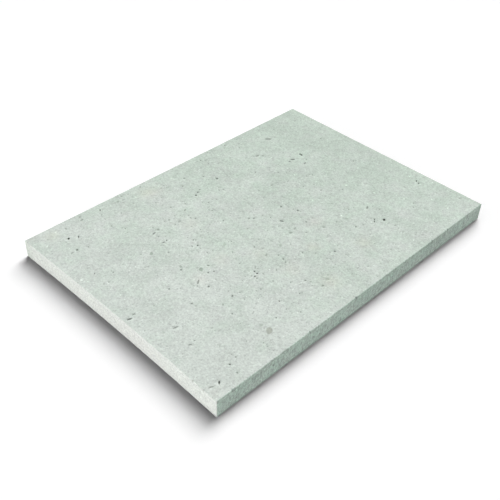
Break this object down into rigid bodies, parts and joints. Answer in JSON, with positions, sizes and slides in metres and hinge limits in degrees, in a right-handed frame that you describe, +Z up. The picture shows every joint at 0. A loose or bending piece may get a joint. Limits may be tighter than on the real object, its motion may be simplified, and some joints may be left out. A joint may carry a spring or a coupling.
{
  "type": "fibre cement flat sheet",
  "caption": "Rectangular flat sheet of pale green-grey fibre cement with square sawn edges, for cladding, lining or a worktop.",
  "frame": {"origin": "middle of the back face, which lies on the floor", "axes": "+X along the length, +Y along the width, +Z up through the thickness, out of the smooth face"},
  "size_m": [0.297, 0.21, 0.015],
  "materials": {
    "fibre_cement": "matte"
  },
  "bodies": {
    "root": {"fibre_cement_sheet": "fibre_cement"}
  },
  "joints": []
}
